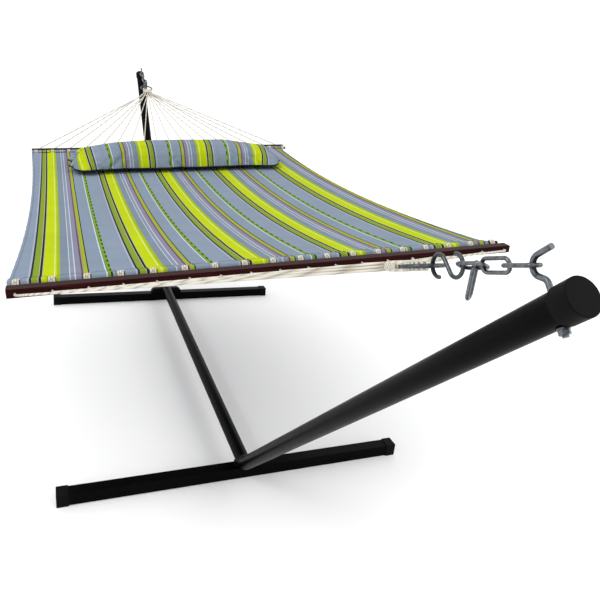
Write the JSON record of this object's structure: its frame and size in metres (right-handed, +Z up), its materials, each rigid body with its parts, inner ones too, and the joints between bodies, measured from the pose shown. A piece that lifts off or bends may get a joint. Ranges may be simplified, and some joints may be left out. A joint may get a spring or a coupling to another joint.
{
  "type": "hammock on stand",
  "caption": "Quilted hammock with wooden spreader bars, rope clews and a bolster pillow, hung by chains and S-hooks from a two-armed steel-tube stand on square-tube feet.",
  "frame": {"origin": "on the floor, midway between the two feet and on the middle line of the base beam", "axes": "+X along the stand towards its front end, +Y across the stand towards the left side, +Z up"},
  "size_m": [3.8266, 1.2698, 1.1436],
  "materials": {
    "black_steel": "satin powder coat",
    "black_plastic": "matte",
    "zinc_steel": "zinc plated",
    "dark_steel": "dark zinc plated",
    "cotton_rope": "twisted cotton",
    "dark_wood": "satin varnish",
    "bed_cloth": "striped quilted weave",
    "pillow_cloth": "striped quilted weave"
  },
  "bodies": {
    "stand": {"front_foot": "black_steel", "front_foot_cap_left": "black_plastic", "front_foot_cap_right": "black_plastic", "front_saddle": "black_plastic", "front_foot_bolts": "zinc_steel", "front_foot_nut": "zinc_steel", "front_elbow": "black_steel", "front_base_beam": "black_steel", "front_arm": "black_steel", "front_arm_cap": "black_plastic", "front_joint_bolts": "zinc_steel", "front_joint_nuts": "zinc_steel", "front_hook_bolt": "zinc_steel", "front_hook_washer": "zinc_steel", "front_hook_nut": "zinc_steel", "rear_foot": "black_steel", "rear_foot_cap_left": "black_plastic", "rear_foot_cap_right": "black_plastic", "rear_saddle": "black_plastic", "rear_foot_bolts": "zinc_steel", "rear_foot_nut": "zinc_steel", "rear_elbow": "black_steel", "rear_base_beam": "black_steel", "rear_arm": "black_steel", "rear_arm_cap": "black_plastic", "rear_joint_bolts": "zinc_steel", "rear_joint_nuts": "zinc_steel", "rear_hook_bolt": "zinc_steel", "rear_hook_washer": "zinc_steel", "rear_hook_nut": "zinc_steel", "beam_coupler": "black_steel", "coupler_bolts": "zinc_steel", "coupler_nuts": "zinc_steel"},
    "hammock": {"front_chain_link_1": "zinc_steel", "front_chain_link_2": "zinc_steel", "front_chain_link_3": "zinc_steel", "front_s_hook": "dark_steel", "front_ring": "dark_steel", "front_clew_knot": "cotton_rope", "front_clew_ropes": "cotton_rope", "front_spreader_bar": "dark_wood", "front_hem_dowel": "dark_wood", "rear_chain_link_1": "zinc_steel", "rear_chain_link_2": "zinc_steel", "rear_chain_link_3": "zinc_steel", "rear_s_hook": "dark_steel", "rear_ring": "dark_steel", "rear_clew_knot": "cotton_rope", "rear_clew_ropes": "cotton_rope", "rear_spreader_bar": "dark_wood", "rear_hem_dowel": "dark_wood", "bed": "bed_cloth"},
    "front_spare": {"front_spare_link": "zinc_steel"},
    "rear_spare": {"rear_spare_link": "zinc_steel"},
    "cushion": {"pillow": "pillow_cloth"}
  },
  "joints": [
    {"name": "hammock_sway", "type": "hinge", "parent": "stand", "child": "hammock", "pos_m": [0, 0, 1.11237], "axis": [1, 0, 0], "range_deg": [-25, 25]},
    {"name": "front_spare_link_swing", "type": "hinge", "parent": "hammock", "child": "front_spare", "pos_m": [1.7009, 0.00881, 1.06563], "axis": [0.9414, 0, 0.3372], "range_deg": [-30, 30]},
    {"name": "rear_spare_link_swing", "type": "hinge", "parent": "hammock", "child": "rear_spare", "pos_m": [-1.6992, 0.00881, 1.07026], "axis": [-0.9532, 0, 0.3023], "range_deg": [-30, 30]},
    {"name": "pillow_flip", "type": "hinge", "parent": "hammock", "child": "cushion", "pos_m": [-0.65, 0.00115, 0.80171], "axis": [0, -0.9981, -0.061], "range_deg": [0, 85]}
  ]
}
